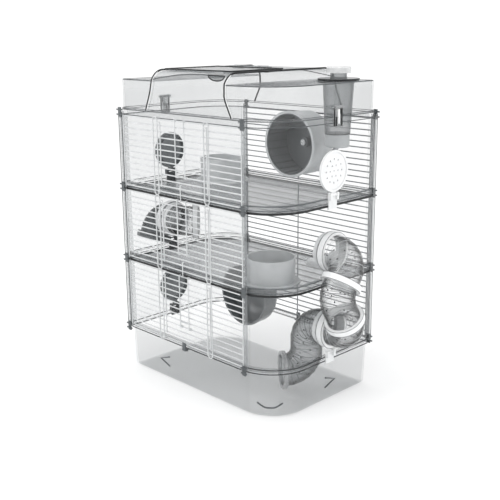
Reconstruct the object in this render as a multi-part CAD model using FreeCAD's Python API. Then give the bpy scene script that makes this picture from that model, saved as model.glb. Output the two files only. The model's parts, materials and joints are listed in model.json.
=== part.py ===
import FreeCAD, Part
import math
import os

# Hamster cage: three wire and clear-plastic storeys on a deep tray, with a domed lid.
# Millimetres. Origin at the centre of the tray's underside, +Z up, +X along the long side,
# -Y towards the doors. The plan is a leaf: two opposite corners are large arcs, two are tight.

# ---- driving sizes ----
LENGTH = 353.0          # rim, along X
DEPTH = 231.0           # rim, along Y
TRAY_HEIGHT = 75.0      # top of the tray
TRAY_FLANGE = 3.5       # thickness of the tray's flange
STOREY = 125.0          # height of one storey
BIG_R = 69.5            # front-right and back-left corners
SMALL_R = 7.0           # front-left and back-right corners
WALL = 2.2              # clear plastic wall
WIRE_R = 1.0            # bar of the grids
BARS = 13               # bars in one storey
TUBE_R = 26.0           # outside of the tunnel tube
TUBE_WALL = 1.7
COLLAR_R = 31.4         # outside of the white tunnel rings and of the port covers
PORT_Y = 11.0           # port's distance from the X axis, mirrored on the left end
PORT_RISE = 50.8        # port centre above the rim below it

# ---- sizes that follow ----
HALF_L = LENGTH / 2
HALF_D = DEPTH / 2
BAND_LOW = 4.0          # a storey rim reaches this far below its level
BAND_HIGH = 9.0         # and this far above it
BASE_RIM = 5.0          # height of the ring on the tray
TOP_RIM_HIGH = 6.0
PANEL_INSET = 1.5
PANEL_IN = HALF_L - PANEL_INSET - WALL      # inner face of an end wall
PITCH = STOREY / BARS
WIRE_Y = HALF_D + 2.5   # plane of the bars
UPRIGHT_Y = WIRE_Y + 1.6
POST_X = 117.5          # inner side of the posts beside the large corners
POST_W = 4.0
COLUMN_W = 10.0         # column at a tight corner
DOOR_LEFT = -86.5
DOOR_RIGHT = 45.0
LEVELS = [TRAY_HEIGHT + i * STOREY for i in range(4)]
BORE_R = TUBE_R + 0.5   # bore of every tunnel ring
RIB = 0.8               # height of the ribs round a bend

X = FreeCAD.Vector(1, 0, 0)
Y = FreeCAD.Vector(0, 1, 0)
Z = FreeCAD.Vector(0, 0, 1)


def vec(x, y, z):
    return FreeCAD.Vector(x, y, z)


def save(name, shape):
    os.makedirs("parts", exist_ok=True)
    shape.exportStep("parts/" + name + ".step")


def box(x0, x1, y0, y1, z0, z1):
    return Part.makeBox(x1 - x0, y1 - y0, z1 - z0, vec(x0, y0, z0))


def rod(start, end, radius):
    span = end - start
    return Part.makeCylinder(radius, span.Length, start, span)


def ring(centre, axis, outer, inner, length):
    start = centre - axis * (length / 2)
    body = Part.makeCylinder(outer, length, start, axis)
    return body.cut(Part.makeCylinder(inner, length + 2, start - axis, axis))


def union(shapes):
    return shapes[0].multiFuse(shapes[1:]).removeSplitter()


def half_turn(shape):
    turned = shape.copy()
    turned.rotate(vec(0, 0, 0), Z, 180)
    return turned


def corner_arc(cx, cy, radius, start_deg, z):
    points = []
    for step in (0, 45, 90):
        angle = math.radians(start_deg + step)
        points.append(vec(cx + radius * math.cos(angle), cy + radius * math.sin(angle), z))
    return Part.Arc(*points).toShape()


def leaf_wire(inset, z):
    a = HALF_L - inset
    b = HALF_D - inset
    big = BIG_R - inset
    small = max(SMALL_R - inset, 1.5)
    arcs = [
        corner_arc(a - big, -b + big, big, -90, z),
        corner_arc(a - small, b - small, small, 0, z),
        corner_arc(-a + big, b - big, big, 90, z),
        corner_arc(-a + small, -b + small, small, 180, z),
    ]
    edges = []
    for i, arc in enumerate(arcs):
        edges.append(arc)
        start = arc.Vertexes[-1].Point
        end = arcs[(i + 1) % 4].Vertexes[0].Point
        edges.append(Part.makeLine(start, end))
    return Part.Wire(edges)


def leaf(inset, z0, z1):
    return Part.Face(leaf_wire(inset, z0)).extrude(vec(0, 0, z1 - z0))


def leaf_ring(outer_inset, inner_inset, z0, z1):
    return leaf(outer_inset, z0, z1).cut(leaf(inner_inset, z0 - 1, z1 + 1))


# ---- tray and rims ----
def make_tray():
    outer = Part.makeLoft([leaf_wire(5.6, 0), leaf_wire(3.0, TRAY_HEIGHT)], True)
    low_edges = [e for e in outer.Edges if e.BoundBox.ZMax < 0.01]
    outer = outer.makeFillet(4.0, low_edges)
    inner_wires = [leaf_wire(5.5 + WALL, WALL), leaf_wire(3.0 + WALL, TRAY_HEIGHT + 0.01)]
    inner = Part.makeLoft(inner_wires, True)
    shell = outer.cut(inner)
    flange = leaf_ring(0, 4.5, TRAY_HEIGHT - TRAY_FLANGE, TRAY_HEIGHT)
    return shell.fuse(flange).removeSplitter()


def make_platform(level):
    band = leaf_ring(0, 2.4, level - BAND_LOW, level + BAND_HIGH)
    floor = leaf(0, level - BAND_LOW, level - BAND_LOW + 2.4)
    ledge = leaf_ring(0, 6.0, level + BAND_HIGH - 2.0, level + BAND_HIGH)
    return union([band, floor, ledge])


# ---- clear end panels with their ports ----
def panel_span(storey):
    low = LEVELS[storey] + (BASE_RIM if storey == 0 else BAND_HIGH)
    high = LEVELS[storey + 1] - BAND_LOW
    return low, high


def port_z(storey):
    return LEVELS[storey] + PORT_RISE


def make_right_panel(storey):
    low, high = panel_span(storey)
    wall = leaf_ring(PANEL_INSET, PANEL_INSET + WALL, low, high)
    end = box(POST_X - 2, HALF_L + 5, -HALF_D - 5, HALF_D - 6, low - 1, high + 1)
    turn_in = box(HALF_L - COLUMN_W, HALF_L + 5, HALF_D - 7, HALF_D + 5, low - 1, high + 1)
    wall = wall.common(end.fuse(turn_in))
    face = HALF_D - PANEL_INSET
    lip = box(POST_X - 2, POST_X + 2, -face, -face + 5, low, high)
    back_lip = box(HALF_L - COLUMN_W, HALF_L - COLUMN_W + 3, face - 5, face, low, high)
    hole = Part.makeCylinder(TUBE_R + 2, 20, vec(PANEL_IN - 10, PORT_Y, port_z(storey)), X)
    return union([wall, lip, back_lip]).cut(hole)


# ---- wire grids and doors ----
def bar_z(storey, i):
    return LEVELS[storey] + PITCH * (i + 0.5)


def bar(x0, x1, z, y=-WIRE_Y):
    return rod(vec(x0, y, z), vec(x1, y, z), WIRE_R)


def upright(x, z0, z1, y=-UPRIGHT_Y):
    return rod(vec(x, y, z0), vec(x, y, z1), WIRE_R)


def make_front_grid(storey):
    left = -HALF_L + COLUMN_W
    right = POST_X
    low = bar_z(storey, 0)
    high = bar_z(storey, BARS - 1)
    wires = [bar(left, right, low), bar(left, right, high)]
    for i in range(1, BARS - 1):
        wires.append(bar(left, DOOR_LEFT, bar_z(storey, i)))
        wires.append(bar(DOOR_RIGHT, right, bar_z(storey, i)))
    for x in (left + 1.5, DOOR_LEFT, DOOR_RIGHT, right - 1.5):
        wires.append(upright(x, low - 2, high + 2))
    return union(wires)


def make_back_grid(storey):
    left = -HALF_L + COLUMN_W
    low = bar_z(storey, 0)
    high = bar_z(storey, BARS - 1)
    wires = [bar(left, POST_X, bar_z(storey, i)) for i in range(BARS)]
    for x in (left + 1.5, -11.0, POST_X - 1.5):
        wires.append(upright(x, low - 2, high + 2))
    return half_turn(union(wires))


DOOR_SIDE = 10.5        # door upright in from the edge of its opening
EYE_R = 2.3             # outside of a wire eye
EYE_BORE = WIRE_R + 0.06


def eye(x, z):
    return ring(vec(x, -WIRE_Y, z), X, EYE_R, EYE_BORE, 4.0)


def make_door(storey):
    left = DOOR_LEFT + DOOR_SIDE
    right = DOOR_RIGHT - DOOR_SIDE
    hinge = bar_z(storey, 0)
    top = bar_z(storey, BARS - 2)
    wires = [bar(DOOR_LEFT + 3, DOOR_RIGHT - 3, bar_z(storey, i)) for i in range(1, BARS - 1)]
    for x in (left, right):
        wires.append(upright(x, hinge + 1.5, top + 5))
        wires.append(upright(x + 7, hinge + PITCH - 1, top + 5))
        wires.append(rod(vec(x, -UPRIGHT_Y, top + 5), vec(x + 7, -UPRIGHT_Y, top + 5), WIRE_R))
        wires.append(eye(x, hinge))
    door = union(wires)
    bore = rod(vec(DOOR_LEFT, -WIRE_Y, hinge), vec(DOOR_RIGHT, -WIRE_Y, hinge), EYE_BORE)
    return door.cut(bore)


LATCH_X = (-31.5, -10.0)
LATCH_BAR = 3           # door bar the latch swings on
LATCH_Y = -WIRE_Y - 2.35


def make_door_latch(storey):
    pivot = bar_z(storey, LATCH_BAR)
    hook = bar_z(storey, BARS - 1) + WIRE_R + 1.1
    wires = []
    for x in LATCH_X:
        wires.append(eye(x, pivot))
        wires.append(rod(vec(x, LATCH_Y, pivot), vec(x, LATCH_Y, hook), 0.9))
        wires.append(rod(vec(x, LATCH_Y, hook), vec(x, -WIRE_Y + 1.2, hook), 0.9))
        wires.append(Part.makeSphere(0.9, vec(x, LATCH_Y, hook)))
    wires.append(rod(vec(LATCH_X[0], LATCH_Y, pivot + 9), vec(LATCH_X[1], LATCH_Y, pivot + 9), 0.9))
    latch = union(wires)
    bore = rod(vec(LATCH_X[0] - 5, -WIRE_Y, pivot), vec(LATCH_X[1] + 5, -WIRE_Y, pivot), EYE_BORE)
    return latch.cut(bore)


# ---- posts, columns and rim clips ----
POST_OUT = HALF_D + 5.2


def make_front_post():
    return box(POST_X, POST_X + POST_W, -POST_OUT, -HALF_D - 0.2, TRAY_HEIGHT + 0.5, LEVELS[3] + 2)


def make_front_column():
    low = TRAY_HEIGHT + 0.5
    high = LEVELS[3] + 2
    column = box(-HALF_L, -HALF_L + COLUMN_W, -POST_OUT, -HALF_D - 0.2, low, high)
    core = box(-HALF_L + 2, -HALF_L + COLUMN_W - 2, -POST_OUT + 1.8, -HALF_D - 1, low + 3, high - 3)
    return column.cut(core)


def clip(x, level, width):
    front = -POST_OUT - 0.2
    plate = box(x - 3.5, x + 3.5, front - 1.8, front, level - 7, level + 9)
    upper = box(x - width / 2, x + width / 2, front - 2.6, front - 0.8, level + 4, level + 6.2)
    lower = box(x - width / 2, x + width / 2, front - 2.6, front - 0.8, level - 4, level - 1.8)
    return union([plate, upper, lower])


def make_clips(level):
    front = [clip(-HALF_L + 6, level, 14), clip(POST_X + POST_W / 2, level, 12)]
    return Part.makeCompound(front + [half_turn(one) for one in front])


def make_tray_clips():
    front_y = -UPRIGHT_Y - 1.2
    z = TRAY_HEIGHT
    solids = []
    for x in (-22.6, -11.5):
        plate = box(x - 4, x + 4, front_y - 1.6, front_y, z - 6, z + 8)
        tooth = box(x - 4, x + 4, front_y - 0.1, -HALF_D - 0.1, z - 6, z - 4.2)
        solids.append(union([plate, tooth]))
    return Part.makeCompound([solids[0], half_turn(solids[1])])


# ---- tunnel tubes ----
def swept_disc(centre, axis, radius, pivot, bend_axis, start_angle, angle):
    disc = Part.Face(Part.Wire(Part.makeCircle(radius, centre, axis)))
    solid = disc.revolve(pivot, bend_axis, angle)
    solid.rotate(pivot, bend_axis, start_angle)
    return solid


def bend(start, heading, towards, bend_r, angle, lead, tail):
    """A ribbed tube: straight lead, an arc that turns from heading to towards, straight tail.

    Returns the tube, the centre of its far end and the direction it leaves in.
    """
    axis = heading.cross(towards)
    arc_start = start + heading * lead
    pivot = arc_start + towards * bend_r
    turn = FreeCAD.Rotation(axis, angle)
    arc_end = pivot + turn.multVec(arc_start - pivot)
    out = turn.multVec(heading)

    def run(radius, extra):
        first = Part.makeCylinder(radius, lead + extra, start - heading * extra, heading)
        arc = swept_disc(arc_start, heading, radius, pivot, axis, 0, angle)
        last = Part.makeCylinder(radius, tail + extra, arc_end, out)
        return union([first, arc, last])

    rib_angle = 100.0 / bend_r
    count = max(2, int(round(angle * bend_r / 550.0)))
    gap = (angle - rib_angle * count) / (count + 1)
    ribs = []
    for i in range(count):
        turned = gap + i * (gap + rib_angle)
        ribs.append(swept_disc(arc_start, heading, TUBE_R + RIB, pivot, axis, turned, rib_angle))
    tube = union([run(TUBE_R, 0)] + ribs).cut(run(TUBE_R - TUBE_WALL, 1))
    return tube, arc_end + out * tail, out


def make_port_ring(storey):
    centre = vec(PANEL_IN, PORT_Y, port_z(storey))
    neck = ring(centre + X * 2.2, X, TUBE_R + 1.8, BORE_R, 21.0)
    inner = ring(centre - X * 1.4, X, TUBE_R + 4.0, BORE_R, 2.4)
    outer = ring(centre + X * (WALL + 5.6), X, COLLAR_R, BORE_R, 10.6)
    return union([neck, inner, outer])


BEND_R = 31.0
RING_LENGTH = 10.0              # ring that joins two tubes
SPIGOT_OUT = PANEL_IN + 1.0
BEND_FROM = PANEL_IN + 13.2
LEAD = BEND_FROM - SPIGOT_OUT

# The outside run swings towards the doors as it leaves either port, more at the high one.
HIGH_LEAN = math.radians(35)
LOW_LEAN = math.radians(30)
HIGH_R = 33.0
LOW_R = 27.0
OUT_DOWN = vec(0, -math.sin(HIGH_LEAN), -math.cos(HIGH_LEAN))
OUT_UP = vec(0, -math.sin(LOW_LEAN), math.cos(LOW_LEAN))

upper_elbow, upper_end, upper_dir = bend(
    vec(SPIGOT_OUT, PORT_Y, port_z(1)), X, OUT_DOWN, HIGH_R, 90, LEAD, 11.0)
lower_elbow, lower_end, lower_dir = bend(
    vec(SPIGOT_OUT, PORT_Y, port_z(0)), X, OUT_UP, LOW_R, 90, LEAD + HIGH_R - LOW_R, 4.0)


def middle_run():
    """The tube between the two outside elbows: one bend, tangent to both of them."""
    into = lower_dir * -1
    gap = lower_end - upper_end
    cross = upper_dir.y * into.z - upper_dir.z * into.y
    first = (gap.y * into.z - gap.z * into.y) / cross
    last = (upper_dir.y * gap.z - upper_dir.z * gap.y) / cross
    turn = upper_dir.getAngle(into)
    tangent = BEND_R * math.tan(turn / 2)
    towards = (into - upper_dir * upper_dir.dot(into)).normalize()
    angle = math.degrees(turn)
    return bend(upper_end, upper_dir, towards, BEND_R, angle, first - tangent, last - tangent)[0]


IN_FROM = PANEL_IN - 1.0
drop_elbow, drop_end, _ = bend(
    vec(IN_FROM, PORT_Y, port_z(0)), X * -1, Z * -1, 34.0, 90, 9.0, 6.0)
MOUTH_ANGLE = math.radians(234)
mouth_way = vec(math.cos(MOUTH_ANGLE), math.sin(MOUTH_ANGLE), 0)
mouth_elbow, mouth_end, mouth_dir = bend(
    drop_end - Z * 0.2, Z * -1, mouth_way, 34.0, 90, 9.0, 7.0)

left_elbow, left_end, left_dir = bend(
    vec(-IN_FROM, -PORT_Y, port_z(1)), X, Y, 40.0, 45, 9.0, 10.0)
POD_LEAN = math.radians(20)
pod_down = vec(0, -math.sin(POD_LEAN), -math.cos(POD_LEAN))
pod_elbow, pod_end, pod_dir = bend(
    vec(-SPIGOT_OUT, -PORT_Y, port_z(1)), X * -1, pod_down, BEND_R, 90, LEAD, 8.0)


def make_pod_cap():
    depth = 12.0
    cup = Part.makeCylinder(COLLAR_R, depth, pod_end - pod_dir * 5, pod_dir)
    edge = [e for e in cup.Edges if (e.CenterOfMass - (pod_end + pod_dir * (depth - 5))).Length < 0.5]
    cup = cup.makeFillet(4.0, edge)
    hollow = Part.makeCylinder(BORE_R, depth - 2, pod_end - pod_dir * 5, pod_dir)
    return cup.cut(hollow)


# ---- port covers ----
COVER_T = 2.6
COVER_X = HALF_L + 0.9          # inner face of a closed cover
COVER_PIN_X = HALF_L + 3.4
COVER_PIN_RISE = 6.0            # pin above the rim that its clip holds
COVER_PIN_R = 1.2
CLIP_GAP = 0.4                  # between a clip and the rim


def cover_pin(storey):
    return vec(COVER_PIN_X, PORT_Y, panel_span(storey)[0] + COVER_PIN_RISE)


def make_cover(storey, perforated):
    z = port_z(storey)
    pin = cover_pin(storey)
    outer = COVER_X + COVER_T
    disc = Part.makeCylinder(COLLAR_R, COVER_T, vec(COVER_X, PORT_Y, z), X)
    lip = ring(vec(outer, PORT_Y, z), X, COLLAR_R, COLLAR_R - 3, 3.0)
    plug = ring(vec(COVER_X - 1.6, PORT_Y, z), X, TUBE_R + 1.2, TUBE_R - 0.6, 3.6)
    stem = box(COVER_X, outer, PORT_Y - 5, PORT_Y + 5, pin.z + 1.5, z - COLLAR_R + 3)
    barrel = Part.makeCylinder(2.6, 10, pin - Y * 5, Y)
    cover = union([disc, lip, plug, stem, barrel])
    cover = cover.cut(Part.makeCylinder(COVER_PIN_R + 0.06, 30, pin - Y * 15, Y))
    if perforated:
        for radius, count in ((0, 1), (9, 6), (18, 12)):
            for i in range(count):
                angle = 2 * math.pi * i / count
                y = PORT_Y + radius * math.cos(angle)
                hole_z = z + radius * math.sin(angle)
                cover = cover.cut(Part.makeCylinder(1.6, 20, vec(COVER_X - 8, y, hole_z), X))
    return cover


def make_cover_clip(storey):
    """A clip hooked over the rim below a port, with the pin that a cover turns on."""
    pin = cover_pin(storey)
    rim_top = panel_span(storey)[0]
    rim_foot = TRAY_HEIGHT - TRAY_FLANGE if storey == 0 else LEVELS[storey] - BAND_LOW
    back = HALF_L + CLIP_GAP
    y0 = PORT_Y - 9.5
    y1 = PORT_Y + 9.5
    plate = box(back, back + 2, y0, y1, rim_foot - 3.5, pin.z - 3.4)
    tooth = box(HALF_L - 1.1, back + 1, y0, y1, rim_foot - 3.5, rim_foot - CLIP_GAP)
    near = box(back, pin.x + 3, y0, y0 + 4, rim_top - 2, pin.z + 3)
    far = box(back, pin.x + 3, y1 - 4, y1, rim_top - 2, pin.z + 3)
    shaft = Part.makeCylinder(COVER_PIN_R, y1 - y0, vec(pin.x, y0, pin.z), Y)
    return union([plate, tooth, near, far, shaft])


# ---- exercise wheel ----
WHEEL = vec(52.0, 50.0, 400.0)  # centre of the open front
WHEEL_R = 52.0
WHEEL_W = 52.0
AXLE_R = 3.0


def make_wheel():
    drum = Part.makeCylinder(WHEEL_R, WHEEL_W, WHEEL, Y)
    drum = drum.makeFillet(6.0, [e for e in drum.Edges if e.BoundBox.YMin > WHEEL.y + WHEEL_W - 0.1])
    hollow = Part.makeCylinder(WHEEL_R - 2, WHEEL_W - 2, WHEEL - Y, Y)
    rim = ring(WHEEL + Y * 1.5, Y, WHEEL_R + 2, WHEEL_R - 3.5, 3.0)
    boss = Part.makeCylinder(8.0, 14, WHEEL + Y * (WHEEL_W - 15), Y)
    ribs = []
    count = 24
    for i in range(count):
        rib = box(-0.7, 0.7, 3, WHEEL_W - 3, WHEEL_R - 3.2, WHEEL_R - 1.5)
        rib.rotate(vec(0, 0, 0), Y, 360.0 * i / count)
        rib.translate(WHEEL)
        ribs.append(rib)
    wheel = union([drum.cut(hollow), rim, boss] + ribs)
    return wheel.cut(Part.makeCylinder(AXLE_R + 0.06, 60, WHEEL + Y * (WHEEL_W - 20), Y))


def make_axle():
    start = WHEEL + Y * (WHEEL_W - 16.5)
    shaft = Part.makeCylinder(AXLE_R, WIRE_Y - 3 - start.y, start, Y)
    head = Part.makeCylinder(5.0, 1.4, start, Y * -1)
    return shaft.fuse(head).removeSplitter()


def make_wheel_stand():
    back = HALF_D - 2.0
    plate = box(WHEEL.x - 16, WHEEL.x + 16, back - 3.5, back, WHEEL.z - 22, WHEEL.z + 22)
    plate = plate.makeFillet(5.0, [e for e in plate.Edges if abs(e.tangentAt(0).y) > 0.9])
    boss = Part.makeCylinder(7.0, 4, vec(WHEEL.x, back - 7.0, WHEEL.z), Y)
    stand = union([plate, boss])
    for z in (WHEEL.z - 14, WHEEL.z + 14):
        stand = stand.fuse(box(WHEEL.x - 5, WHEEL.x + 5, back - 0.5, WIRE_Y - 1.2, z - 1, z + 1))
    return stand.cut(Part.makeCylinder(AXLE_R + 0.02, 40, vec(WHEEL.x, back - 10, WHEEL.z), Y))


# ---- nest under the first platform ----
NEST = vec(0, -7.0, 143.0)
NEST_R = 51.0
NEST_DEPTH = 44.0


def round_pot(radius, depth, fillet, grow):
    pot = Part.makeCylinder(radius, depth, vec(0, 0, 0), Y)
    pot = pot.makeFillet(fillet, [e for e in pot.Edges if e.BoundBox.YMin > depth - 0.1])
    pot.translate(NEST + Y * grow)
    return pot


def make_nest():
    outer = round_pot(NEST_R, NEST_DEPTH, 22.0, 0)
    inner = round_pot(NEST_R - 2.2, NEST_DEPTH - 1.2, 20.0, -1.0)
    lip = ring(NEST + Y * 1.5, Y, NEST_R + 1.0, NEST_R - 2.2, 3.0)
    ceiling = LEVELS[1] - BAND_LOW
    hanger = box(-14, 14, NEST.y + 6, NEST.y + 20, NEST.z + NEST_R - 6, ceiling)
    return union([outer, lip, hanger]).cut(inner)


# ---- food bowls ----
def make_bowl(x, y, level):
    floor = level - BAND_LOW + 2.4
    base = Part.makeCylinder(46.0, 3.2, vec(x, y, floor + 0.02))
    base = base.makeFillet(1.2, [e for e in base.Edges if e.BoundBox.ZMin > floor + 3])
    cup = Part.makeCone(36.8, 38.6, level + 39.5 - floor, vec(x, y, floor + 0.02))
    hollow = Part.makeCone(33.6, 36.8, level + 39.5 - floor, vec(x, y, floor + 3.0))
    return union([base, cup]).cut(hollow)


# ---- lid ----
LID_LOW = LEVELS[3] + TOP_RIM_HIGH
ROOF = 505.0            # side roofs
SADDLE = 521.0          # raised middle
LID_INSET = 2.5


# The raised middle is skewed: each edge runs further left at the front than at the back.
# Each row is a height, then how far left and right of centre the middle reaches at the front.
SADDLE_EDGES = [
    (LID_LOW - 1, 111.0, 91.0),
    (485.0, 98.0, 75.0),
    (ROOF, 92.0, 76.0),
    (SADDLE, 86.0, 82.0),
]


def saddle_wedge(shrink, low):
    outlines = []
    for y in (-130, 130):
        left = []
        right = []
        for z, *reach in SADDLE_EDGES:
            if y > 0:
                reach.reverse()
            height = max(low, z - shrink)
            left.append(vec(shrink - reach[0], y, height))
            right.append(vec(reach[1] - shrink, y, height))
        outlines.append(Part.makePolygon(left + right[::-1] + left[:1]))
    return Part.makeLoft(outlines, True, True)


def lid_solid(shrink, low):
    side = leaf(LID_INSET + shrink, low, ROOF - shrink)
    top_edges = [e for e in side.Edges if e.BoundBox.ZMin > ROOF - shrink - 0.01]
    side = side.makeFillet(max(4.0 - shrink, 1.5), top_edges)
    front = HALF_D - 0.8 - shrink
    top = SADDLE - shrink
    radius = 18.0 - shrink
    pts = [vec(0, -front, low), vec(0, -front, top - radius),
           vec(0, -front + radius * 0.2929, top - radius * 0.2929), vec(0, -front + radius, top),
           vec(0, front - radius, top), vec(0, front - radius * 0.2929, top - radius * 0.2929),
           vec(0, front, top - radius), vec(0, front, low)]
    profile = Part.Wire([
        Part.makeLine(pts[0], pts[1]), Part.Arc(pts[1], pts[2], pts[3]).toShape(),
        Part.makeLine(pts[3], pts[4]), Part.Arc(pts[4], pts[5], pts[6]).toShape(),
        Part.makeLine(pts[6], pts[7]), Part.makeLine(pts[7], pts[0])])
    arch = Part.Face(profile).extrude(vec(240, 0, 0))
    arch.translate(vec(-120, 0, 0))
    wedge = saddle_wedge(shrink, low)
    return side.fuse(arch.common(wedge)).removeSplitter()


HATCH_X = 70.0
HATCH_FRONT = -96.0
HATCH_BACK = 12.0
BOTTLE_X = 141.0
BOTTLE_Y = 65.0
BOTTLE_R = 24.4         # just under the flange
BOTTLE_DEPTH = 82.0
NECK_R = 13.0
NECK_TOP = 523.1


def make_lid():
    shell = lid_solid(0, LID_LOW).cut(lid_solid(WALL, LID_LOW - 1))
    foot = leaf_ring(0.6, LID_INSET + WALL, LID_LOW, LID_LOW + 2.5)
    opening = box(-HATCH_X, HATCH_X, HATCH_FRONT, HATCH_BACK, ROOF, SADDLE + 5)
    throat = Part.makeCylinder(BOTTLE_R + 2, 20, vec(BOTTLE_X, BOTTLE_Y, ROOF - 10))
    lid = shell.fuse(foot).cut(opening).cut(throat)
    knuckles = []
    hinge_y = HATCH_BACK + 4
    for side in (-1, 1):
        x = side * 34
        knuckles.append(ring(vec(x, hinge_y, SADDLE + 2.8), X, 2.6, 1.3, 10.0))
        knuckles.append(box(x - 5, x + 5, hinge_y - 2, hinge_y + 2, SADDLE - 1, SADDLE + 0.6))
        for dy in (-11.0, 11.0):
            knuckles.append(latch_ear(side, dy))
    return union([lid] + knuckles)


def make_hinge_pin():
    return Part.makeCylinder(1.24, 90, vec(-45, HATCH_BACK + 4, SADDLE + 2.8), X)


def make_hatch():
    gap = 0.6
    side = HATCH_X - gap
    back = HATCH_BACK - gap
    plate = box(-side, side, HATCH_FRONT + gap, back, SADDLE - WALL, SADDLE)
    border = box(-HATCH_X - 4, HATCH_X + 4, HATCH_FRONT - 4, back, SADDLE + 0.3, SADDLE + 1.8)
    notch = Part.makeCylinder(13.0, 12, vec(44, HATCH_FRONT - 4, SADDLE - 5))
    grip = ring(vec(44, HATCH_FRONT - 4, SADDLE + 1.4), Z, 15.0, 13.0, 2.2)
    grip = grip.common(box(20, 70, HATCH_FRONT - 4, HATCH_FRONT + 20, SADDLE, SADDLE + 5))
    pieces = [plate, border.fuse(box(-60, 60, -90, 0, SADDLE - 0.5, SADDLE + 1.0))]
    for x in (-22.0, 22.0):
        pieces.append(ring(vec(x, HATCH_BACK + 4, SADDLE + 2.8), X, 2.5, 1.3, 12.0))
        pieces.append(box(x - 6, x + 6, HATCH_BACK - 2, HATCH_BACK + 2.2, SADDLE + 0.3, SADDLE + 1.8))
    return union(pieces).cut(notch).fuse(grip).removeSplitter()


# ---- lid latches on the two ends ----
LATCH_PIVOT_X = HALF_L + 3.2
LATCH_PIVOT_Z = 470.0
END_LATCH_Y = 17.5


def latch_ear(side, dy):
    y = END_LATCH_Y + dy
    low = LATCH_PIVOT_Z - 3
    ear = box(HALF_L - LID_INSET - 0.5, LATCH_PIVOT_X + 2.4, y - 1.5, y + 1.5, low, low + 6)
    hole = Part.makeCylinder(1.3, 10, vec(LATCH_PIVOT_X, y - 5, LATCH_PIVOT_Z), Y)
    ear = ear.cut(hole)
    return ear if side > 0 else half_turn(ear)


def make_end_latch():
    y0 = END_LATCH_Y - 9
    y1 = END_LATCH_Y + 9
    barrel = Part.makeCylinder(2.8, y1 - y0, vec(LATCH_PIVOT_X, y0, LATCH_PIVOT_Z), Y)
    arm = box(HALF_L + 1.2, LATCH_PIVOT_X + 0.6, y0, y1, LEVELS[3] - 7.2, LATCH_PIVOT_Z)
    tongue = box(HALF_L + 0.2, HALF_L + 1.4, y0 + 2, y1 - 2, LEVELS[3] - 7.2, LEVELS[3] - BAND_LOW - 0.3)
    tab = box(HALF_L + 1.2, LATCH_PIVOT_X + 5, y0, y1, LEVELS[3] - 9, LEVELS[3] - 7)
    bore = Part.makeCylinder(1.3, 40, vec(LATCH_PIVOT_X, y0 - 5, LATCH_PIVOT_Z), Y)
    return union([barrel, arm, tongue, tab]).cut(bore)


def make_end_latch_pin():
    return Part.makeCylinder(1.24, 25, vec(LATCH_PIVOT_X, END_LATCH_Y - 12.5, LATCH_PIVOT_Z), Y)


# ---- dispenser in the lid ----
def make_bottle():
    top = ROOF + 0.1
    cone = Part.makeCone(BOTTLE_R - 4.6, BOTTLE_R, BOTTLE_DEPTH, vec(BOTTLE_X, BOTTLE_Y, top - BOTTLE_DEPTH))
    flange = Part.makeCylinder(31.5, 3.4, vec(BOTTLE_X, BOTTLE_Y, top))
    neck = Part.makeCylinder(NECK_R, NECK_TOP - top - 3, vec(BOTTLE_X, BOTTLE_Y, top + 3))
    solid = union([cone, flange, neck])
    low = top - BOTTLE_DEPTH + 2
    inner = Part.makeCone(BOTTLE_R - 6.4, BOTTLE_R - 1.8, BOTTLE_DEPTH - 3, vec(BOTTLE_X, BOTTLE_Y, low))
    throat = Part.makeCylinder(NECK_R - 2, 30, vec(BOTTLE_X, BOTTLE_Y, top - 5))
    return solid.cut(inner).cut(throat)


def make_bottle_cap():
    height = 9.5
    low = NECK_TOP - 6.6
    cap = Part.makeCylinder(19.0, height, vec(BOTTLE_X, BOTTLE_Y, low))
    cap = cap.makeFillet(2.0, [e for e in cap.Edges if e.BoundBox.ZMin > low + height - 0.5])
    return cap.cut(Part.makeCylinder(NECK_R + 0.06, 6.9, vec(BOTTLE_X, BOTTLE_Y, low - 0.1)))


def make_bottle_base():
    top = ROOF - BOTTLE_DEPTH
    base = Part.makeCylinder(19.0, 20, vec(BOTTLE_X, BOTTLE_Y, top - 20))
    return base.makeFillet(2.0, [e for e in base.Edges if e.BoundBox.ZMax < top - 19])


def make_spout():
    start = vec(BOTTLE_X, BOTTLE_Y, ROOF - BOTTLE_DEPTH - 20)
    tip = start + vec(-9, -9, -16)
    tube = rod(start, tip, 3.6)
    top = box(BOTTLE_X - 12, BOTTLE_X + 12, BOTTLE_Y - 12, BOTTLE_Y + 12, start.z, start.z + 12)
    return tube.cut(top).cut(rod(start, tip - vec(2, 2, 4), 2.6))


# ---- landing tongue in the right port of the middle storey ----
def make_tongue():
    z = port_z(1)
    root = PANEL_IN - 2.6
    reach = 35.0
    half = 27.0
    gutter = ring(vec(root - reach / 2, PORT_Y, z), X, TUBE_R + 4.0, TUBE_R + 2.0, reach)
    outline = box(root - reach + half, root, PORT_Y - half, PORT_Y + half, z - 40, z)
    tip = Part.makeCylinder(half, 40, vec(root - reach + half, PORT_Y, z - 40))
    return gutter.common(outline.fuse(tip))


save("tray", make_tray())
save("base_rim", leaf_ring(0, 7.0, TRAY_HEIGHT, TRAY_HEIGHT + BASE_RIM))
save("platform_1", make_platform(LEVELS[1]))
save("platform_2", make_platform(LEVELS[2]))
save("top_rim", leaf_ring(0, 7.0, LEVELS[3] - BAND_LOW, LID_LOW))
for storey in range(3):
    number = str(storey + 1)
    panel = make_right_panel(storey)
    save("right_panel_" + number, panel)
    save("left_panel_" + number, half_turn(panel))
    save("front_grid_" + number, make_front_grid(storey))
    save("back_grid_" + number, make_back_grid(storey))
    save("door_" + number, make_door(storey))
    save("door_latch_" + number, make_door_latch(storey))
save("posts", Part.makeCompound([make_front_post(), half_turn(make_front_post())]))
save("columns", Part.makeCompound([make_front_column(), half_turn(make_front_column())]))
save("rim_clips", Part.makeCompound([s for level in LEVELS for s in make_clips(level).Solids]))
save("tray_clips", make_tray_clips())

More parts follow.
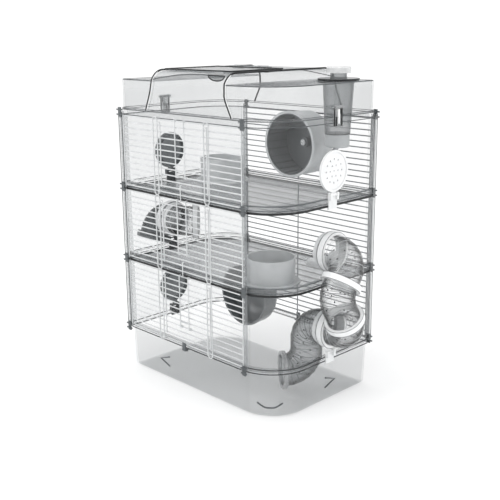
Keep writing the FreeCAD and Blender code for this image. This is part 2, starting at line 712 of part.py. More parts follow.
save("port_ring_low", make_port_ring(0))
save("port_ring_high", make_port_ring(1))
save("port_ring_left", half_turn(make_port_ring(1)))
save("outer_elbow_high", upper_elbow)
save("outer_tube", middle_run())
save("outer_elbow_low", lower_elbow)
save("tube_rings", Part.makeCompound([
    ring(upper_end, upper_dir, COLLAR_R, BORE_R, RING_LENGTH),
    ring(lower_end + lower_dir, lower_dir, COLLAR_R, BORE_R, RING_LENGTH),
    ring(left_end - left_dir * 4.4, left_dir, COLLAR_R, BORE_R, RING_LENGTH)]))
save("inner_elbow", drop_elbow)
save("mouth_elbow", mouth_elbow)
save("mouth_ring", ring(mouth_end - mouth_dir * 2.5, mouth_dir, COLLAR_R, BORE_R, 7.0))
save("left_elbow", left_elbow)
save("pod_elbow", pod_elbow)
save("pod_cap", make_pod_cap())
save("landing_tongue", make_tongue())

save("cover_left_1", half_turn(make_cover(0, False)))
save("cover_left_3", half_turn(make_cover(2, False)))
save("cover_right_3", make_cover(2, True))
port_clips = [make_cover_clip(storey) for storey in range(3)]
save("cover_clips", Part.makeCompound(port_clips + [half_turn(one) for one in port_clips]))

save("wheel", make_wheel())
save("wheel_axle", make_axle())
save("wheel_stand", make_wheel_stand())
save("nest", make_nest())
save("bowl_1", make_bowl(102.4, -44.5, LEVELS[1]))
save("bowl_2", make_bowl(-102.4, 44.5, LEVELS[2]))

save("lid", make_lid())
save("hatch", make_hatch())
save("end_latch_right", make_end_latch())
save("end_latch_left", half_turn(make_end_latch()))
save("lid_pins", Part.makeCompound([
    make_hinge_pin(), make_end_latch_pin(), half_turn(make_end_latch_pin())]))
save("bottle", make_bottle())
save("bottle_cap", make_bottle_cap())
save("bottle_base", make_bottle_base())
save("bottle_spout", make_spout())
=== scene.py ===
import json
import math

import bpy
from mathutils import Matrix, Vector


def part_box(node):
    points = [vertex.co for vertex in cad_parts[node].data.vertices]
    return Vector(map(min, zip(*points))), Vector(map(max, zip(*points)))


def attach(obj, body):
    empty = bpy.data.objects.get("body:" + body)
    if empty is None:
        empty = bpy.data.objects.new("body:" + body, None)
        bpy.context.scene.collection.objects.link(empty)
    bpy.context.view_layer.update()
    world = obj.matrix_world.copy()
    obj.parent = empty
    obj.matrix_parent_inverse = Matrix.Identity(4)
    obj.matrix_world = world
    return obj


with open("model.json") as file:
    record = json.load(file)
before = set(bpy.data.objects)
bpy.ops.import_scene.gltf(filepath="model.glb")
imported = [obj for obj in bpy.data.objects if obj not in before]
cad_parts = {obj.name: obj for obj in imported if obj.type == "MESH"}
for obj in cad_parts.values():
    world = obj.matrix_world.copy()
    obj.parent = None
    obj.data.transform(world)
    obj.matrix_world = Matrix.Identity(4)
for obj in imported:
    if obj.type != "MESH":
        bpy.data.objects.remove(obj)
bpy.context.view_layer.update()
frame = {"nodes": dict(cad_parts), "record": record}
NODES = frame["nodes"]
SLOT_OF = {part["node"]: part["material_slot"] for part in frame["record"]["subparts"]}

RIM_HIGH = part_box("base_rim")[1]
HALF_L = RIM_HIGH.x
HALF_D = RIM_HIGH.y
BIG_R = 0.0695    # the plan's two large corners
SMALL_R = 0.007   # and its two tight ones
LEVELS = [0.075, 0.200, 0.325, 0.450]   # tray rim, two platforms, top rim
BAND_LOW = 0.004    # a platform's band reaches this far below its level
BAND_HIGH = 0.009   # and this far above it
ROOF = 0.505
SADDLE = 0.521      # top of the lid's raised middle

# ---- grain of the mouldings: noise scales, and the depth of the finest ----
MOTTLE_SCALE = 45.0
GLOSS_SCALE = 160.0
GRAIN_SCALE = 900.0
GRAIN_DEPTH = 0.0002

# ---- gloss of the clear plastic ----
POLISH = 0.08          # roughness of its mirror-like layer
HAZE_ROUGHNESS = 0.25
LEAST_GLOSS = 0.04     # reflected when seen face-on
GRAZING_POWER = 5.0    # how suddenly that rises towards the edge
RIPPLE_SCALE = 22.0
RIPPLE_DEPTH = 0.001


# ---- materials ----
class Graph:
    """A material's node tree, with short names for the nodes used here."""

    def __init__(self, name):
        self.material = bpy.data.materials.new(name)
        self.material.use_nodes = True
        self.tree = self.material.node_tree
        self.tree.nodes.clear()
        self.output = self.add("ShaderNodeOutputMaterial")

    def add(self, kind, **values):
        node = self.tree.nodes.new(kind)
        for key, value in values.items():
            setattr(node, key, value)
        return node

    def link(self, source, target):
        self.tree.links.new(source, target)

    def position(self):
        return self.add("ShaderNodeTexCoord").outputs["Object"]

    def noise(self, scale, detail=3.0):
        node = self.add("ShaderNodeTexNoise")
        node.inputs["Scale"].default_value = scale
        node.inputs["Detail"].default_value = detail
        self.link(self.position(), node.inputs["Vector"])
        return node.outputs["Fac"]

    def ramp(self, source, stops):
        node = self.add("ShaderNodeValToRGB")
        ramp = node.color_ramp
        while len(ramp.elements) < len(stops):
            ramp.elements.new(0.5)
        for element, (place, colour) in zip(ramp.elements, stops):
            element.position = place
            element.color = grey(colour)
        self.link(source, node.inputs["Fac"])
        return node.outputs["Color"]

    def span(self, source, low, high):
        """Noise, which stays near its middle, spread from low to high."""
        node = self.add("ShaderNodeMapRange")
        node.inputs["To Min"].default_value = low
        node.inputs["To Max"].default_value = high
        node.inputs["From Min"].default_value = 0.3
        node.inputs["From Max"].default_value = 0.7
        self.link(source, node.inputs["Value"])
        return node.outputs["Result"]

    def bump(self, source, strength, distance):
        node = self.add("ShaderNodeBump")
        node.inputs["Strength"].default_value = strength
        node.inputs["Distance"].default_value = distance
        self.link(source, node.inputs["Height"])
        return node.outputs["Normal"]


def grey(value):
    """A neutral tone with a faint cool tint that grows as it darkens."""
    return (value ** 1.07, value ** 1.025, value, 1.0)


def solid(name, low, high, rough, bump=0.15, metal=0.0, coat=0.0):
    """Opaque moulded plastic or enamel: mottled colour, uneven gloss, fine grain."""
    g = Graph(name)
    shader = g.add("ShaderNodeBsdfPrincipled")
    shader.inputs["Metallic"].default_value = metal
    shader.inputs["Coat Weight"].default_value = coat
    tone = g.ramp(g.noise(MOTTLE_SCALE, 4.0), [(0.35, low), (0.65, high)])
    g.link(tone, shader.inputs["Base Color"])
    g.link(g.span(g.noise(GLOSS_SCALE), rough - 0.06, rough + 0.06), shader.inputs["Roughness"])
    g.link(g.bump(g.noise(GRAIN_SCALE, 2.0), bump, GRAIN_DEPTH), shader.inputs["Normal"])
    g.link(shader.outputs["BSDF"], g.output.inputs["Surface"])
    return g.material


def clear(name, centre, edge, body, haze, edge_haze, gloss=0.6, power=3.0):
    """See-through plastic: what it lets through and its haze, face-on and edge-on, and a sharp gloss."""
    g = Graph(name)
    weight = g.add("ShaderNodeLayerWeight")
    weight.inputs["Blend"].default_value = 0.5
    turned = g.add("ShaderNodeMath", operation="POWER")
    turned.inputs[1].default_value = power
    g.link(weight.outputs["Facing"], turned.inputs[0])
    see = g.add("ShaderNodeBsdfTransparent")
    g.link(g.ramp(turned.outputs[0], [(0.0, centre), (1.0, edge)]), see.inputs["Color"])
    fill = g.add("ShaderNodeBsdfPrincipled")
    fill.inputs["Roughness"].default_value = HAZE_ROUGHNESS
    mottle = g.noise(38.0, 4.0)
    g.link(g.ramp(mottle, [(0.3, body * 0.93), (0.7, body)]), fill.inputs["Base Color"])
    amount = g.add("ShaderNodeMapRange")
    amount.inputs["To Min"].default_value = haze
    amount.inputs["To Max"].default_value = edge_haze
    g.link(turned.outputs[0], amount.inputs["Value"])
    uneven = g.add("ShaderNodeMath", operation="MULTIPLY")
    g.link(amount.outputs["Result"], uneven.inputs[0])
    g.link(g.span(mottle, 0.85, 1.15), uneven.inputs[1])
    hazy = g.add("ShaderNodeMixShader")
    g.link(uneven.outputs[0], hazy.inputs["Fac"])
    g.link(see.outputs[0], hazy.inputs[1])
    g.link(fill.outputs[0], hazy.inputs[2])
    shine = g.add("ShaderNodeBsdfGlossy")
    shine.inputs["Roughness"].default_value = POLISH
    g.link(g.bump(g.noise(RIPPLE_SCALE, 2.0), 0.12, RIPPLE_DEPTH), shine.inputs["Normal"])
    grazing = g.add("ShaderNodeMath", operation="POWER")
    grazing.inputs[1].default_value = GRAZING_POWER
    g.link(weight.outputs["Facing"], grazing.inputs[0])
    share = g.add("ShaderNodeMath", operation="MULTIPLY_ADD")
    share.inputs[1].default_value = gloss
    share.inputs[2].default_value = LEAST_GLOSS
    g.link(grazing.outputs[0], share.inputs[0])
    # Only the side the light enters by is glossy, so nothing is trapped inside the wall.
    outer = g.add("ShaderNodeMath", operation="SUBTRACT")
    outer.inputs[0].default_value = 1.0
    g.link(g.add("ShaderNodeNewGeometry").outputs["Backfacing"], outer.inputs[1])
    front = g.add("ShaderNodeMath", operation="MULTIPLY")
    g.link(share.outputs[0], front.inputs[0])
    g.link(outer.outputs[0], front.inputs[1])
    top = g.add("ShaderNodeMixShader")
    g.link(front.outputs[0], top.inputs["Fac"])
    g.link(hazy.outputs[0], top.inputs[1])
    g.link(shine.outputs[0], top.inputs[2])
    g.link(top.outputs[0], g.output.inputs["Surface"])
    return g.material


# One material for each of the frame's slots.
MATERIALS = {
    "clear_tray": clear("tray_plastic", 0.972, 0.54, 0.78, 0.02, 0.10),
    "clear_rim": clear("rim_plastic", 0.95, 0.40, 0.60, 0.04, 0.22),
    "smoked_floor": clear("floor_plastic", 0.93, 0.40, 0.42, 0.07, 0.34),
    "clear_panel": clear("panel_plastic", 0.985, 0.60, 0.84, 0.012, 0.15),
    "wire": solid("wire_enamel", 0.56, 0.66, 0.40, coat=0.2),
    "grey_post": clear("post_plastic", 0.88, 0.35, 0.50, 0.22, 0.45),
    "dark_clip": solid("clip_plastic", 0.07, 0.12, 0.42),
    "white_ring": solid("white_plastic", 0.76, 0.82, 0.30, bump=0.06, coat=0.3),
    "clear_tube": clear("tube_plastic", 0.965, 0.0, 0.80, 0.03, 0.04, power=2.7),
    "smoked_tube": clear("smoke_plastic", 0.87, 0.0, 0.34, 0.09, 0.12, power=2.3),
    "grey_plastic": solid("grey_moulding", 0.40, 0.46, 0.42, bump=0.10),
    "smoked_cover": clear("cover_smoke", 0.50, 0.10, 0.10, 0.30, 0.75, power=2.0),
    "steel": solid("bright_steel", 0.40, 0.50, 0.25, metal=1.0, bump=0.05),
    "clear_lid": clear("lid_plastic", 0.945, 0.40, 0.76, 0.025, 0.16),
}


def drum_with_painted_shade():
    """Grey plastic that is pale outside the wheel's drum, with painted shade making it dark grey inside it.
    """
    g = Graph("drum_with_painted_shade")
    shader = g.add("ShaderNodeBsdfPrincipled")
    middle = g.add("ShaderNodeVectorMath", operation="SUBTRACT")
    g.link(g.position(), middle.inputs[0])
    middle.inputs[1].default_value = (WHEEL_X, 0.0, WHEEL_Z)
    flat = g.add("ShaderNodeVectorMath", operation="MULTIPLY")
    g.link(middle.outputs[0], flat.inputs[0])
    flat.inputs[1].default_value = (1.0, 0.0, 1.0)
    reach = g.add("ShaderNodeVectorMath", operation="LENGTH")
    g.link(flat.outputs[0], reach.inputs[0])
    skin = g.add("ShaderNodeMapRange")
    skin.inputs["From Min"].default_value = WHEEL_R - DRUM_INSIDE
    skin.inputs["From Max"].default_value = WHEEL_R - DRUM_OUTSIDE
    g.link(reach.outputs["Value"], skin.inputs["Value"])
    tint = g.ramp(g.noise(MOTTLE_SCALE, 4.0), [(0.35, 0.85), (0.65, 1.0)])
    # Painted shade: inside the drum the colour falls from pale grey to near black.
    drum_shade = g.ramp(skin.outputs["Result"], [(0.0, 0.13), (1.0, 0.56)])
    mix = g.add("ShaderNodeMix", data_type="RGBA", blend_type="MULTIPLY")
    mix.inputs["Factor"].default_value = 1.0
    g.link(drum_shade, mix.inputs["A"])
    g.link(tint, mix.inputs["B"])
    g.link(mix.outputs["Result"], shader.inputs["Base Color"])
    g.link(g.span(g.noise(GLOSS_SCALE), 0.34, 0.46), shader.inputs["Roughness"])
    g.link(g.bump(g.noise(GRAIN_SCALE, 2.0), 0.1, GRAIN_DEPTH), shader.inputs["Normal"])
    g.link(shader.outputs["BSDF"], g.output.inputs["Surface"])
    return g.material


def clip_plastic():
    """The port clips: white on the right-hand end, near-black on the left-hand one."""
    g = Graph("port_clip_plastic")
    shader = g.add("ShaderNodeBsdfPrincipled")
    shader.inputs["Roughness"].default_value = 0.35
    split = g.add("ShaderNodeSeparateXYZ")
    g.link(g.position(), split.inputs[0])
    side = g.add("ShaderNodeMath", operation="GREATER_THAN")
    side.inputs[1].default_value = 0.0
    g.link(split.outputs["X"], side.inputs[0])
    mix = g.add("ShaderNodeMix", data_type="RGBA")
    g.link(side.outputs[0], mix.inputs["Factor"])
    speck = g.noise(60.0, 3.0)
    g.link(g.ramp(speck, [(0.3, 0.03), (0.7, 0.07)]), mix.inputs["A"])
    g.link(g.ramp(speck, [(0.3, 0.72), (0.7, 0.80)]), mix.inputs["B"])
    g.link(mix.outputs["Result"], shader.inputs["Base Color"])
    g.link(shader.outputs["BSDF"], g.output.inputs["Surface"])
    return g.material


WHEEL_LOW, WHEEL_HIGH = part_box("wheel")
WHEEL_X = (WHEEL_LOW.x + WHEEL_HIGH.x) / 2
WHEEL_Z = (WHEEL_LOW.z + WHEEL_HIGH.z) / 2
WHEEL_R = 0.052
DRUM_INSIDE = 0.0022    # depth below the drum's skin at which the painted shade is full
DRUM_OUTSIDE = 0.0008   # and above which there is no painted shade, only the pale plastic
DARK_EDGE = solid("dark_edge", 0.006, 0.012, 0.55, bump=0.05)
GREY_EDGE = solid("grey_edge", 0.07, 0.11, 0.50, bump=0.05)
PALE_EDGE = solid("pale_edge", 0.42, 0.50, 0.40, bump=0.05)
# Painted highlight: bright lines for the shine beside the lid's creases and down the middle of each end
# latch.
PAINTED_HIGHLIGHT = solid("painted_highlight", 0.88, 0.94, 0.30, bump=0.05)
# Painted shade: the back grids are the same wire as the front, coloured darker as if dimmed behind the
# cage's clear walls.
BACK_WIRE_PAINTED_SHADE = solid("back_wire_painted_shade", 0.20, 0.28, 0.45)
LATCH = clear("latch_plastic", 0.80, 0.10, 0.85, 0.16, 0.45, gloss=0.9, power=2.0)
LEFT_PANEL = clear("left_panel_plastic", 0.915, 0.50, 0.74, 0.03, 0.15)
POD = clear("pod_smoke", 0.66, 0.04, 0.16, 0.22, 0.50, power=2.4)
# Nodes that look different from their slot's material.
OWN = {
    "bowl_1": solid("bowl_plastic", 0.44, 0.50, 0.42, bump=0.10),
    "bowl_2": solid("pale_bowl_plastic", 0.54, 0.62, 0.42, bump=0.10),
    "nest": clear("nest_plastic", 0.42, 0.12, 0.17, 0.72, 0.90, power=2.0),
    "wheel": drum_with_painted_shade(),
    "wheel_stand": solid("stand_plastic", 0.30, 0.36, 0.42, bump=0.10),
    "landing_tongue": MATERIALS["white_ring"],
    "bottle": clear("bottle_smoke", 0.86, 0.03, 0.42, 0.18, 0.40, power=2.6),
    "bottle_cap": clear("cap_plastic", 0.90, 0.40, 0.92, 0.55, 0.75),
    "mouth_ring": clear("mouth_ring_plastic", 0.90, 0.30, 0.72, 0.22, 0.60, power=2.0),
    "columns": clear("column_plastic", 0.92, 0.45, 0.58, 0.16, 0.42),
    "end_latch_right": LATCH,
    "end_latch_left": LATCH,
    "cover_clips": clip_plastic(),
    "left_panel_1": LEFT_PANEL,
    "left_panel_2": LEFT_PANEL,
    "left_panel_3": LEFT_PANEL,
    "pod_elbow": POD,
    "pod_cap": POD,
    "back_grid_1": BACK_WIRE_PAINTED_SHADE,
    "back_grid_2": BACK_WIRE_PAINTED_SHADE,
    "back_grid_3": BACK_WIRE_PAINTED_SHADE,
}
CLEAR_SLOTS = {
    "clear_tray", "clear_rim", "smoked_floor", "clear_panel", "grey_post", "clear_tube", "clear_lid"}
for node, thing in NODES.items():
    thing.data.materials.clear()
    thing.data.materials.append(OWN.get(node, MATERIALS[SLOT_OF[node]]))
    # Light passes straight through the clear pieces, so they leave no shadow.
    thing.visible_shadow = SLOT_OF[node] not in CLEAR_SLOTS


# ---- outlines and swept details ----
CORNER_STEPS = 15
SHARPEST = 0.0015   # a corner's radius never drops below this


def leaf_outline(inset, z):
    """The cage's plan, anticlockwise from the front-right corner: two large arcs, two tight ones."""
    a = HALF_L - inset
    b = HALF_D - inset
    big = BIG_R - inset
    small = max(SMALL_R - inset, SHARPEST)
    corners = [
        (a - big, -b + big, big, -90),
        (a - small, b - small, small, 0),
        (-a + big, b - big, big, 90),
        (-a + small, -b + small, small, 180),
    ]
    points = []
    for x, y, radius, start in corners:
        for i in range(CORNER_STEPS + 1):
            angle = math.radians(start + 90.0 * i / CORNER_STEPS)
            points.append(Vector((x + radius * math.cos(angle), y + radius * math.sin(angle), z)))
    return points


def wires(name, runs, radius, material, body, closed=False):
    """Round rods along each run of points, as one piece."""
    curve = bpy.data.curves.new(name, "CURVE")
    curve.dimensions = "3D"
    curve.bevel_depth = radius
    curve.bevel_resolution = 2
    curve.use_fill_caps = True
    for run in runs:
        spline = curve.splines.new("POLY")
        spline.points.add(len(run) - 1)
        for point, place in zip(spline.points, run):
            point.co = (*place, 1.0)
        spline.use_cyclic_u = closed
    curve.materials.append(material)
    piece = bpy.data.objects.new(name, curve)
    bpy.context.scene.collection.objects.link(piece)
    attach(piece, body)


# Moulded beads along the rims: a thin pair on each clear rim, and on each platform's band a heavy one
# low down with two thin ones above it.
wires("tray_bead", [leaf_outline(0.0, 0.0722), leaf_outline(-0.0001, 0.0790)], 0.0008,
      DARK_EDGE, "cage", closed=True)
BAND_BEADS = (
    ("bead", 0.0002, 0.0014 - BAND_LOW, 0.0018, DARK_EDGE),
    ("mid", 0.0001, 0.0016, 0.0007, GREY_EDGE),
    ("lip", 0.0001, BAND_HIGH - 0.0006, 0.0007, GREY_EDGE),
)
for number, height in ((1, LEVELS[1]), (2, LEVELS[2])):
    for part, inset, rise, thickness, material in BAND_BEADS:
        wires(f"platform_{number}_{part}", [leaf_outline(inset, height + rise)], thickness,
              material, "cage", closed=True)
wires("top_rim_bead", [leaf_outline(-0.0001, 0.4468), leaf_outline(0.0, 0.4553)], 0.0006,
      GREY_EDGE, "cage", closed=True)

# Lid: dark creases where the raised middle meets the sides, the arch and its finger notch, a bead round
# the foot and the roof's edges. SADDLE_EDGES holds heights, and the raised middle's reach to its left and
# right on the front face at each.
SADDLE_EDGES = [(0.455, 0.111, 0.091), (0.485, 0.098, 0.075), (ROOF, 0.092, 0.076), (SADDLE, 0.086, 0.082)]
SKEW_DEPTH = 0.130    # y, either way, over which left and right reach change places
FRONT = HALF_D - 0.0008
ARCH_R = 0.018        # rounding between the raised middle's front and its top
ARCH_STEPS = 8
ARCH_SLANT = 1.16     # sideways drift of a line on the arch for each metre it rounds inwards
PROUD = 0.0002        # how far a drawn line stands off the surface under it
CREASE_FOOT = 0.4575
CREASE_STEP = 0.0076
SHINE_POINTS = 12     # the shine runs along this much of a crease
SHINE_BESIDE = 0.0024
SHINE_OUT = 0.0004


def saddle_x(side, y, z):
    """Where the raised middle ends, to the left (side -1) or right (+1), at that depth and height."""
    for low, high in zip(SADDLE_EDGES, SADDLE_EDGES[1:]):
        if z <= high[0] + 1e-9:
            break
    share = (z - low[0]) / (high[0] - low[0])
    left, right = (low[i] + (high[i] - low[i]) * share for i in (1, 2))
    front, back = (left, right) if side < 0 else (right, left)
    along = (y + SKEW_DEPTH) / (2 * SKEW_DEPTH)
    return side * (front + (back - front) * along)


def crease(side):
    """The edge of the raised middle: up the front, over the top and down the back."""
    profile = [(-FRONT, CREASE_FOOT + i * CREASE_STEP) for i in range(6)]
    for i in range(ARCH_STEPS + 1):
        angle = math.radians(i * 90 / ARCH_STEPS)
        profile.append((-FRONT + ARCH_R * (1 - math.cos(angle)), SADDLE - ARCH_R * (1 - math.sin(angle))))
    profile += [(-y, z) for y, z in reversed(profile)]
    return [Vector((saddle_x(side, y, z), y, z)) for y, z in profile]


wires("lid_crease", [crease(-1), crease(1)], 0.0015, DARK_EDGE, "lid")
shine = []
for side in (-1, 1):
    shine.append([Vector((p.x + SHINE_BESIDE, p.y - SHINE_OUT, p.z)) for p in crease(side)[:SHINE_POINTS]])
wires("lid_crease_shine", shine, 0.0005, PAINTED_HIGHLIGHT, "lid")


def on_arch(x, z):
    """A point on the raised middle's front face, which rounds over into its top."""
    rise = max(0.0, (z - SADDLE + ARCH_R) / ARCH_R)
    inset = ARCH_R * (1 - math.sqrt(1 - rise * rise))
    return Vector((x - ARCH_SLANT * inset, -FRONT + inset - PROUD, z))


def arched(places):
    """A smooth line through places on the front face, and its half-turn at the back."""
    front = [on_arch(x, z) for x, z in places]
    return [front, [Vector((-p.x, -p.y, p.z)) for p in front]]


NOTCH_X = 0.0608
NOTCH_Z = 0.5165
NOTCH_HALF = 0.0175
NOTCH_DEPTH = 0.0072
NOTCH_STEPS = 12
RIB_GAP = 0.0012
arch_top = [(-0.0925, 0.5058), (-0.075, 0.5088), (-0.0574, 0.5112), (-0.043, 0.5131), (-0.029, 0.5147),
            (-0.013, 0.5160), (0.0021, 0.5168), (0.0247, 0.5171), (0.044, 0.5168)]
notch = []
for i in range(NOTCH_STEPS + 1):
    angle = math.pi * (1 + i / NOTCH_STEPS)
    notch.append((NOTCH_X + NOTCH_HALF * math.cos(angle), NOTCH_Z + NOTCH_DEPTH * math.sin(angle)))
notch_rim = [(0.0433 + i * 0.0035, 0.5166) for i in range(11)]
wires("lid_arch_edge", arched(arch_top), 0.0007, GREY_EDGE, "lid")
wires("lid_notch_edge", arched(notch) + arched(notch_rim), 0.0009, DARK_EDGE, "lid")
notch_ribs = []
for i in range(1, 6):
    half = NOTCH_HALF * math.sqrt(max(0.0, 1 - (RIB_GAP * i / NOTCH_DEPTH) ** 2))
    notch_ribs += arched([(NOTCH_X + half * (k / 4 - 1), NOTCH_Z - RIB_GAP * i) for k in range(9)])
wires("lid_notch_ribs", notch_ribs, 0.0004, GREY_EDGE, "lid")

wires("lid_foot_bead", [leaf_outline(0.0007, 0.4580)], 0.0005, GREY_EDGE, "lid", closed=True)
ROOF_INSET = 0.0036
ROOF_DROP = 0.0012
MIDDLE_HALF = 0.080   # points of the outline nearer the middle than this are left out


def roof_edges():
    """The roof's outer edge on either side of the raised middle."""
    outline = leaf_outline(ROOF_INSET, ROOF - ROOF_DROP)
    sides = []
    for side in (-1, 1):
        run = [p for p in outline if side * p.x > MIDDLE_HALF]
        first, last = run[0].copy(), run[-1].copy()
        first.x = saddle_x(side, first.y, ROOF)
        last.x = saddle_x(side, last.y, ROOF)
        sides.append([first] + run + [last])
    return sides


wires("lid_roof_edge", roof_edges(), 0.0008, GREY_EDGE, "lid")


# ---- tunnel details: moulded ribs round every bend and rows of vent holes ----
TUBE_R = 0.026
PORT_X = 0.1728        # inner face of the end panels
PORT_Y = 0.011
PORT_RISE = 0.0508     # a port's centre above the level below it
SPIGOT = PORT_X + 0.001
LEAD = 0.0122          # straight part of an outside elbow, from its port to its bend
RIB_ANGLE = 15
RIB_PROUD = 0.0004
VENTS_ROUND = 12       # places round a tube, every other one used in each row


class Bend:
    """Centre line of a tube: straight lead, an arc from heading to towards, straight tail."""

    def __init__(self, start, heading, towards, radius, degrees, lead, tail):
        self.start = Vector(start)
        self.heading = Vector(heading).normalized()
        self.towards = Vector(towards).normalized()
        self.radius = radius
        self.angle = math.radians(degrees)
        self.lead = lead
        self.length = lead + radius * self.angle + tail

    def at(self, run):
        """Centre and direction at that distance along the tube."""
        if run <= self.lead:
            return self.start + self.heading * run, self.heading
        turned = min((run - self.lead) / self.radius, self.angle)
        pivot = self.start + self.heading * self.lead + self.towards * self.radius
        spoke = self.heading * math.sin(turned) - self.towards * math.cos(turned)
        way = self.heading * math.cos(turned) + self.towards * math.sin(turned)
        extra = max(0.0, run - self.lead - self.radius * self.angle)
        return pivot + spoke * self.radius + way * extra, way

    def circle(self, run, radius, count=40):
        """A ring of points round the tube at that distance along it."""
        centre, way = self.at(run)
        across = way.cross(self.heading.cross(self.towards)).normalized()
        up = way.cross(across)
        return [centre + (across * math.cos(2 * math.pi * i / count)
                          + up * math.sin(2 * math.pi * i / count)) * radius for i in range(count)]


def lean(degrees, up):
    """Up (1) or down (-1), leaning that far towards the front."""
    return Vector((0, -math.sin(math.radians(degrees)), up * math.cos(math.radians(degrees))))


PORT_HIGH = LEVELS[1] + PORT_RISE
PORT_LOW = LEVELS[0] + PORT_RISE
high = Bend((SPIGOT, PORT_Y, PORT_HIGH), (1, 0, 0), lean(35, -1),
            radius=0.033, degrees=90, lead=LEAD, tail=0.011)
low = Bend((SPIGOT, PORT_Y, PORT_LOW), (1, 0, 0), lean(30, 1),
           radius=0.027, degrees=90, lead=LEAD + 0.006, tail=0.004)
high_end, high_way = high.at(high.length)
into = -low.at(low.length)[1]
middle = Bend(high_end, high_way, into - high_way * into.dot(high_way),
              radius=0.031, degrees=65, lead=0.00521, tail=0.02836)
drop = Bend((PORT_X - 0.001, PORT_Y, PORT_LOW), (-1, 0, 0), (0, 0, -1),
            radius=0.034, degrees=90, lead=0.009, tail=0.006)
drop_end = drop.at(drop.length)[0]
MOUTH_TURN = math.radians(234)
mouth_way = Vector((math.cos(MOUTH_TURN), math.sin(MOUTH_TURN), 0))
mouth = Bend(drop_end - Vector((0, 0, 0.0002)), (0, 0, -1), mouth_way,
             radius=0.034, degrees=90, lead=0.009, tail=0.007)
inner = Bend((-PORT_X + 0.001, -PORT_Y, PORT_HIGH), (1, 0, 0), (0, 1, 0),
             radius=0.040, degrees=45, lead=0.009, tail=0.010)
pod = Bend((-SPIGOT, -PORT_Y, PORT_HIGH), (-1, 0, 0), lean(20, -1),
           radius=0.031, degrees=90, lead=LEAD, tail=0.008)
TUNNELS = {
    "outer_elbow_high": (high, "cage", "clear_tube"),
    "outer_elbow_low": (low, "cage", "clear_tube"),
    "outer_tube": (middle, "cage", "clear_tube"),
    "inner_elbow": (drop, "cage", "smoked_tube"),
    "mouth_elbow": (mouth, "mouth_elbow", "smoked_tube"),
    "left_elbow": (inner, "cage", "clear_tube"),
    "pod_elbow": (pod, "cage", "smoked_tube"),
}
for name, (line, body, finish) in TUNNELS.items():
    arc = line.radius * line.angle
    count = max(3, round(math.degrees(line.angle) / RIB_ANGLE))
    ribs = [line.circle(line.lead + arc * (i + 0.5) / count, TUBE_R + RIB_PROUD) for i in range(count)]
    edge = GREY_EDGE if finish == "smoked_tube" or name == "outer_tube" else PALE_EDGE
    wires(f"{name}_ribs", ribs, 0.00035, edge, body, closed=True)
    vents = []
    for row in range(count - 1):
        run = line.lead + arc * (row + 1.0) / count
        centre = line.at(run)[0]
        ring = line.circle(run, TUBE_R, VENTS_ROUND)
        for i in range(row % 2, VENTS_ROUND, 2):
            out = (ring[i] - centre).normalized()
            vents.append([ring[i] - out * 0.0002, ring[i] + out * 0.0005])
    wires(f"{name}_vents", vents, 0.0012, DARK_EDGE, body)

# Dark edges on the white rings: at the outside ports, and where two tubes join.
RING_R = 0.0313
RING_HALF = 0.0047
PORT_RING_EDGES = (0.0016, 0.0119)
ring_edges = []
for line in (high, low, pod):
    ring_edges += [line.circle(run, RING_R) for run in PORT_RING_EDGES]
for line, middle_of_ring in ((high, high.length), (low, low.length + 0.001), (inner, inner.length - 0.0044)):
    ring_edges += [line.circle(middle_of_ring + side, RING_R) for side in (-RING_HALF, RING_HALF)]
wires("ring_edges", ring_edges, 0.0004, GREY_EDGE, "cage", closed=True)


# ---- small details ----
HOOP_STEPS = 64


def hoop(centre, radius, axis="Z"):
    """A horizontal circle, or one facing the front when axis is Y."""
    points = []
    for i in range(HOOP_STEPS):
        a = radius * math.cos(2 * math.pi * i / HOOP_STEPS)
        b = radius * math.sin(2 * math.pi * i / HOOP_STEPS)
        points.append(Vector(centre) + (Vector((a, b, 0)) if axis == "Z" else Vector((a, 0, b))))
    return points


# The wheel's rolled lip, drawn in white plastic as a painted highlight; the bottle's flange and foot.
wires("wheel_lip", [hoop((WHEEL_X, WHEEL_LOW.y + 0.0012, WHEEL_Z), WHEEL_R - 0.0014, "Y")], 0.0013,
      MATERIALS["white_ring"], "wheel", closed=True)
BOTTLE_LOW, BOTTLE_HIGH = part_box("bottle")
BOTTLE_X = (BOTTLE_LOW.x + BOTTLE_HIGH.x) / 2
BOTTLE_Y = (BOTTLE_LOW.y + BOTTLE_HIGH.y) / 2
FLANGE_R = (BOTTLE_HIGH.x - BOTTLE_LOW.x) / 2
FOOT_R = 0.0190
wires("bottle_flange_bead", [hoop((BOTTLE_X, BOTTLE_Y, ROOF + 0.0018), FLANGE_R - 0.0006)], 0.0016,
      DARK_EDGE, "bottle", closed=True)
wires("bottle_foot_bead", [hoop((BOTTLE_X, BOTTLE_Y, BOTTLE_LOW.z + 0.0008), FOOT_R)], 0.0009,
      DARK_EDGE, "bottle", closed=True)


LATCH_Y = 0.0175
LATCH_FACE = 0.1806
LATCH_FOOT = 0.4425
LATCH_TOP = 0.4690


def latch_lines(turn):
    """Dark moulded sides on an end latch, and a painted highlight down its middle."""
    def line(beside, low_z, high_z, x=LATCH_FACE):
        return [Vector((turn * x, turn * (LATCH_Y + beside), z)) for z in (low_z, high_z)]
    dark = [line(-0.0084, LATCH_FOOT, LATCH_TOP), line(0.0084, LATCH_FOOT, LATCH_TOP),
            line(-0.0040, LATCH_FOOT, 0.4560), line(0.0052, 0.4600, LATCH_TOP)]
    return dark, [line(0.0008, 0.4460, 0.4670, LATCH_FACE + PROUD)]


for side, turn in (("right", 1), ("left", -1)):
    dark, highlight = latch_lines(turn)
    wires(f"end_latch_{side}_sides", dark, 0.0012, DARK_EDGE, f"end_latch_{side}")
    # The painted highlight: a bright rod down the middle of each latch.
    wires(f"end_latch_{side}_painted_highlight", highlight, 0.0018, PAINTED_HIGHLIGHT, f"end_latch_{side}")


